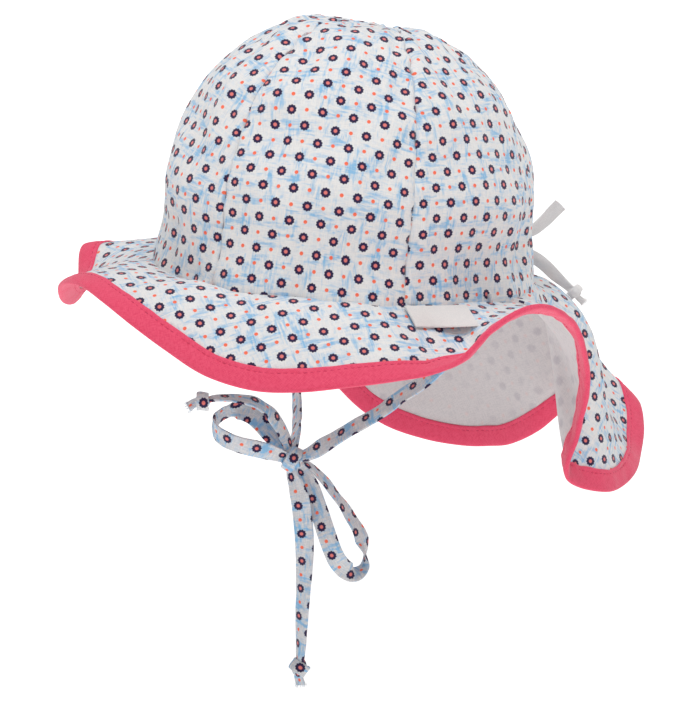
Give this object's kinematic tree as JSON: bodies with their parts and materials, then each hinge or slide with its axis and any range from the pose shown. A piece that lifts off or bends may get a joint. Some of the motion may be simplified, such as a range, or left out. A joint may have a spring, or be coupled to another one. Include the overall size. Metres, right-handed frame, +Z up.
{
  "type": "neck flap sun hat",
  "caption": "Child's soft sun hat with a panelled crown, waved brim, long neck flap, bound edge and cloth chin ties in a bow, shaped as worn.",
  "frame": {"origin": "middle of the head opening, level with the seam between crown and brim, where a head holds the hat up", "axes": "+Z up as worn, -Y towards the face side of the brim, +X towards the wearer's left"},
  "size_m": [0.2252, 0.2494, 0.2791],
  "materials": {
    "printed_cotton": "matt woven cotton, off-white with a small navy and coral dot print",
    "pink_binding": "matt cotton bias binding with a row of stitches",
    "white_cotton": "matt white cotton tape"
  },
  "bodies": {
    "root": {"crown_panel_1": "printed_cotton", "crown_panel_2": "printed_cotton", "crown_panel_3": "printed_cotton", "crown_panel_4": "printed_cotton", "crown_panel_5": "printed_cotton", "crown_panel_6": "printed_cotton", "brim": "printed_cotton", "neck_flap": "printed_cotton", "chin_tie_left": "printed_cotton", "chin_tie_right": "printed_cotton", "bow_loop_left": "printed_cotton", "bow_loop_right": "printed_cotton", "bow_tail_left": "printed_cotton", "bow_tail_down": "printed_cotton", "bow_knot": "printed_cotton", "bow_tail_left_knot": "printed_cotton", "bow_tail_down_knot": "printed_cotton", "edge_binding": "pink_binding", "label": "white_cotton", "drawstring_end_upper": "white_cotton", "drawstring_end_lower": "white_cotton", "drawstring_end_knot": "white_cotton"}
  },
  "joints": []
}
